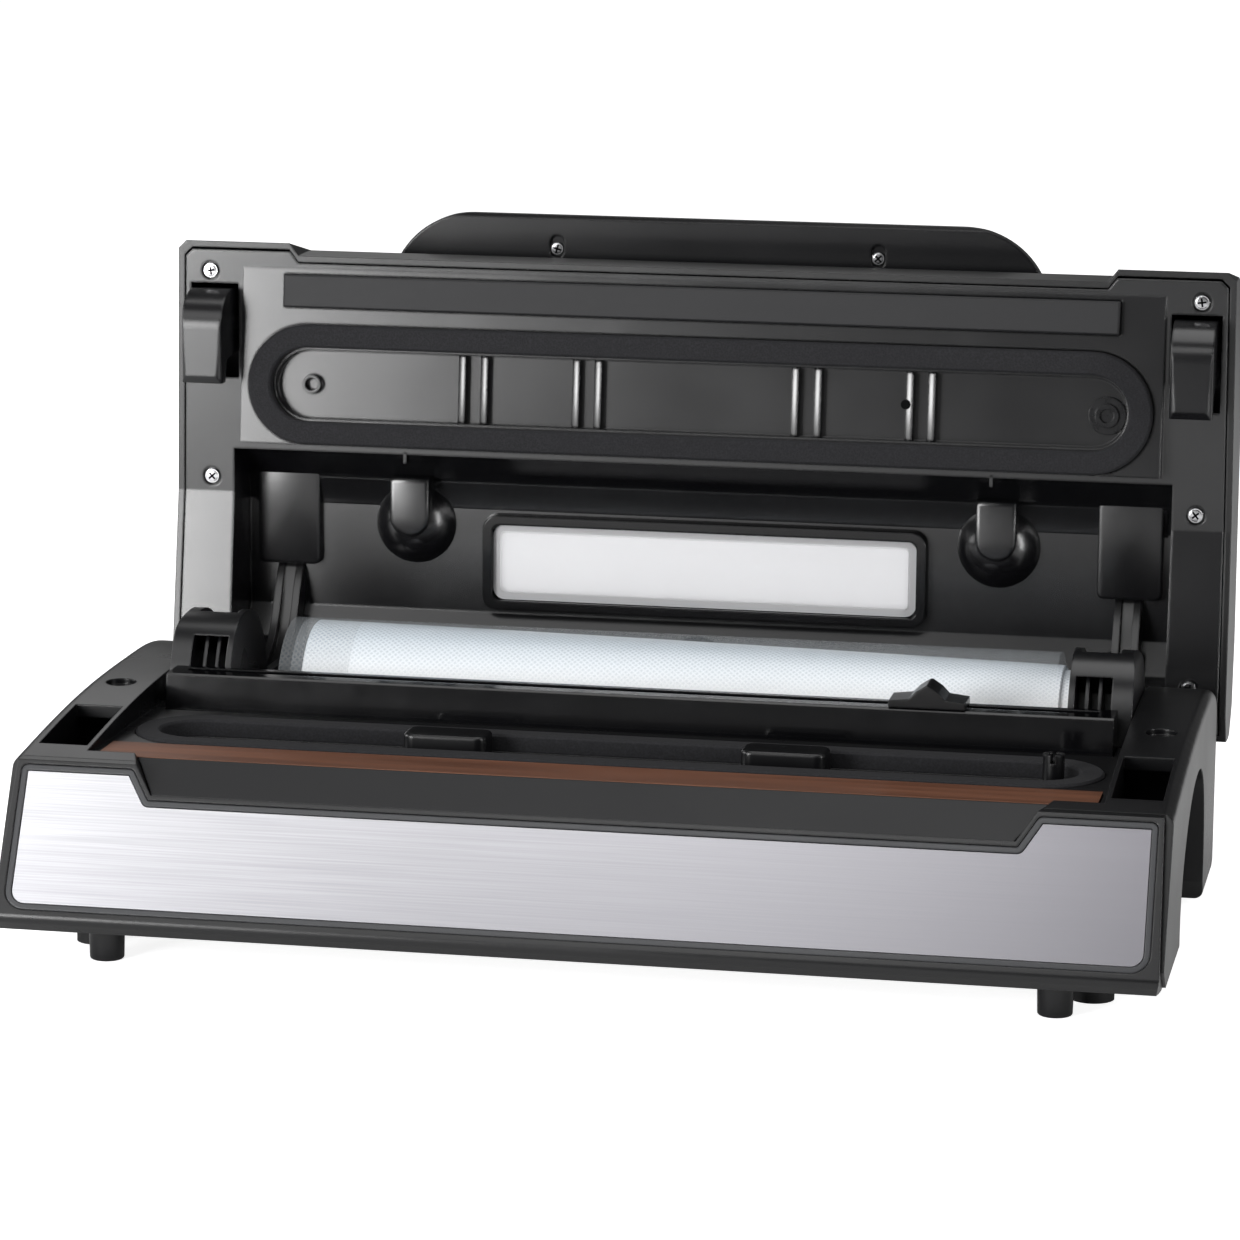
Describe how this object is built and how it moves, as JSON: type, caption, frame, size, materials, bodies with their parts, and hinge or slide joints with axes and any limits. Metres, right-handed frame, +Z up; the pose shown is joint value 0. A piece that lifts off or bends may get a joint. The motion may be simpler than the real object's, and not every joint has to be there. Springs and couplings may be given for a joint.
{
  "type": "vacuum sealer",
  "caption": "Countertop bag sealer with a hinged latching lid, vacuum chamber, heating strip, sliding film cutter and a bay for a roll of bag film.",
  "frame": {"origin": "centre of the bounding box, on the surface that the feet stand on, with the lid open at rest", "axes": "+X to the right along the appliance, +Y to the back, +Z up; the front panel faces -Y"},
  "size_m": [0.4034, 0.2883, 0.23],
  "materials": {
    "black_abs": "fine moulded texture, black ABS",
    "gloss_abs": "polished moulding, black",
    "grey_abs": "satin grey moulding",
    "brushed_panel": "fine grain across the width",
    "grey_rubber": "matt",
    "foam": "closed-cell foam",
    "ptfe_tape": "coated glass cloth, satin",
    "silicone": "smooth",
    "steel": "drawn bar",
    "chromed": "bright plated",
    "film": "embossed bag film, translucent white",
    "clear": "clear moulding",
    "blade_steel": "ground edge",
    "board": "green laminate",
    "core_iron": "laminated plates",
    "copper_coil": "enamelled wire",
    "motor_can": "zinc plated can",
    "hose_rubber": "smooth soft tube",
    "nichrome": "flat ribbon"
  },
  "bodies": {
    "base": {"bag_stops": "black_abs", "base_housing": "black_abs", "board_parts": "black_abs", "bottom_cover": "black_abs", "bottom_screws": "steel", "chamber_hose": "hose_rubber", "control_board": "board", "cord_gland": "grey_rubber", "cutter_rail": "gloss_abs", "deck_gasket": "foam", "element_carrier": "black_abs", "front_bezel": "black_abs", "front_legs": "black_abs", "front_lip": "grey_abs", "front_panel": "brushed_panel", "heating_ribbon": "nichrome", "hinge_pins": "steel", "latch_switches": "black_abs", "panel_trim": "grey_abs", "pump_head": "grey_abs", "pump_hose": "hose_rubber", "pump_motor": "motor_can", "release_valve": "black_abs", "roll_bracket_left": "black_abs", "roll_bracket_right": "black_abs", "rubber_feet": "grey_rubber", "sealing_tape": "ptfe_tape", "transformer_coil": "copper_coil", "transformer_core": "core_iron", "vacuum_nozzle": "black_abs"},
    "lid": {"lid_shell": "black_abs", "lid_liner": "black_abs", "lid_gasket": "foam", "press_strip": "silicone", "vacuum_cup": "grey_rubber", "window_frame": "gloss_abs", "window_lens": "clear", "lid_screws": "chromed", "lid_arm_left": "black_abs", "lid_arm_right": "black_abs", "control_strip": "gloss_abs", "keypad_board": "board"},
    "handle": {"latch_shaft": "steel", "latch_hook_left": "black_abs", "latch_hook_right": "black_abs", "handle_arms": "black_abs", "handle_grip": "black_abs", "handle_cover": "gloss_abs", "handle_screws": "chromed"},
    "cutter": {"cutter_slider": "black_abs", "cutter_blade": "blade_steel"},
    "roll": {"bag_roll": "film"},
    "vacuum_button": {"vacuum_button": "grey_abs"},
    "seal_button": {"seal_button": "grey_abs"},
    "pulse_button": {"pulse_button": "grey_abs"},
    "mode_button": {"mode_button": "grey_abs"},
    "stop_button": {"stop_button": "grey_abs"}
  },
  "joints": [
    {"name": "lid_hinge", "type": "hinge", "parent": "base", "child": "lid", "pos_m": [0, 0.061, 0.05], "axis": [1, 0, 0], "range_deg": [0, 95.5]},
    {"name": "handle_pivot", "type": "hinge", "parent": "lid", "child": "handle", "pos_m": [0, 0.12, 0.186], "axis": [1, 0, 0], "range_deg": [0, 16]},
    {"name": "cutter_slide", "type": "slide", "parent": "base", "child": "cutter", "axis": [1, 0, 0], "range_m": [-0.25, 0.045]},
    {"name": "roll_spin", "type": "hinge", "parent": "base", "child": "roll", "pos_m": [0, 0.032, 0.0625], "axis": [1, 0, 0], "continuous": true},
    {"name": "vacuum_button_press", "type": "slide", "parent": "lid", "child": "vacuum_button", "axis": [0, -0.9956, 0.0939], "range_m": [0, 0.0008], "stiffness_N_per_m": 400},
    {"name": "seal_button_press", "type": "slide", "parent": "lid", "child": "seal_button", "axis": [0, -0.9956, 0.0939], "range_m": [0, 0.0008], "stiffness_N_per_m": 400},
    {"name": "pulse_button_press", "type": "slide", "parent": "lid", "child": "pulse_button", "axis": [0, -0.9956, 0.0939], "range_m": [0, 0.0008], "stiffness_N_per_m": 400},
    {"name": "mode_button_press", "type": "slide", "parent": "lid", "child": "mode_button", "axis": [0, -0.9956, 0.0939], "range_m": [0, 0.0008], "stiffness_N_per_m": 400},
    {"name": "stop_button_press", "type": "slide", "parent": "lid", "child": "stop_button", "axis": [0, -0.9956, 0.0939], "range_m": [0, 0.0008], "stiffness_N_per_m": 400}
  ]
}
